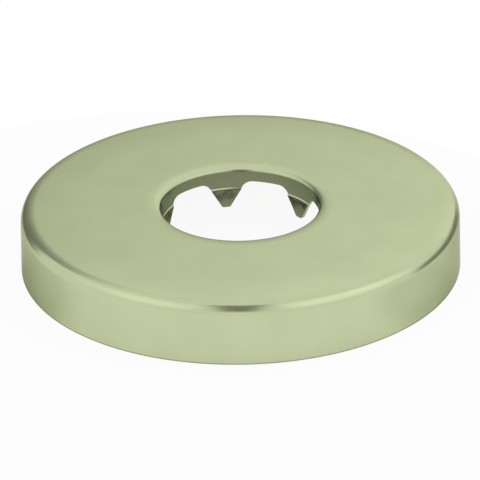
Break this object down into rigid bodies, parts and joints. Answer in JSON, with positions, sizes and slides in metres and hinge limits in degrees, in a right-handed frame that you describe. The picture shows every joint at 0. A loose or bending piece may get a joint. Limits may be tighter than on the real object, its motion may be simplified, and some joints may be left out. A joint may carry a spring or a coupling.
{
  "type": "tap escutcheon",
  "caption": "Round pressed escutcheon pushed over a tap pipe to hide the wall opening: low skirt, level face with a soft shoulder, and a turned-in toothed collar that grips the pipe.",
  "frame": {"origin": "centre of the skirt's foot, on the plane that lies against the wall", "axes": "+Z along the pipe, away from the wall; +Y towards the middle of one spring tooth; +X completes the right-handed frame"},
  "size_m": [0.06, 0.06, 0.0087],
  "materials": {
    "satin_sage_metal": "satin"
  },
  "bodies": {
    "root": {"escutcheon": "satin_sage_metal"}
  },
  "joints": []
}
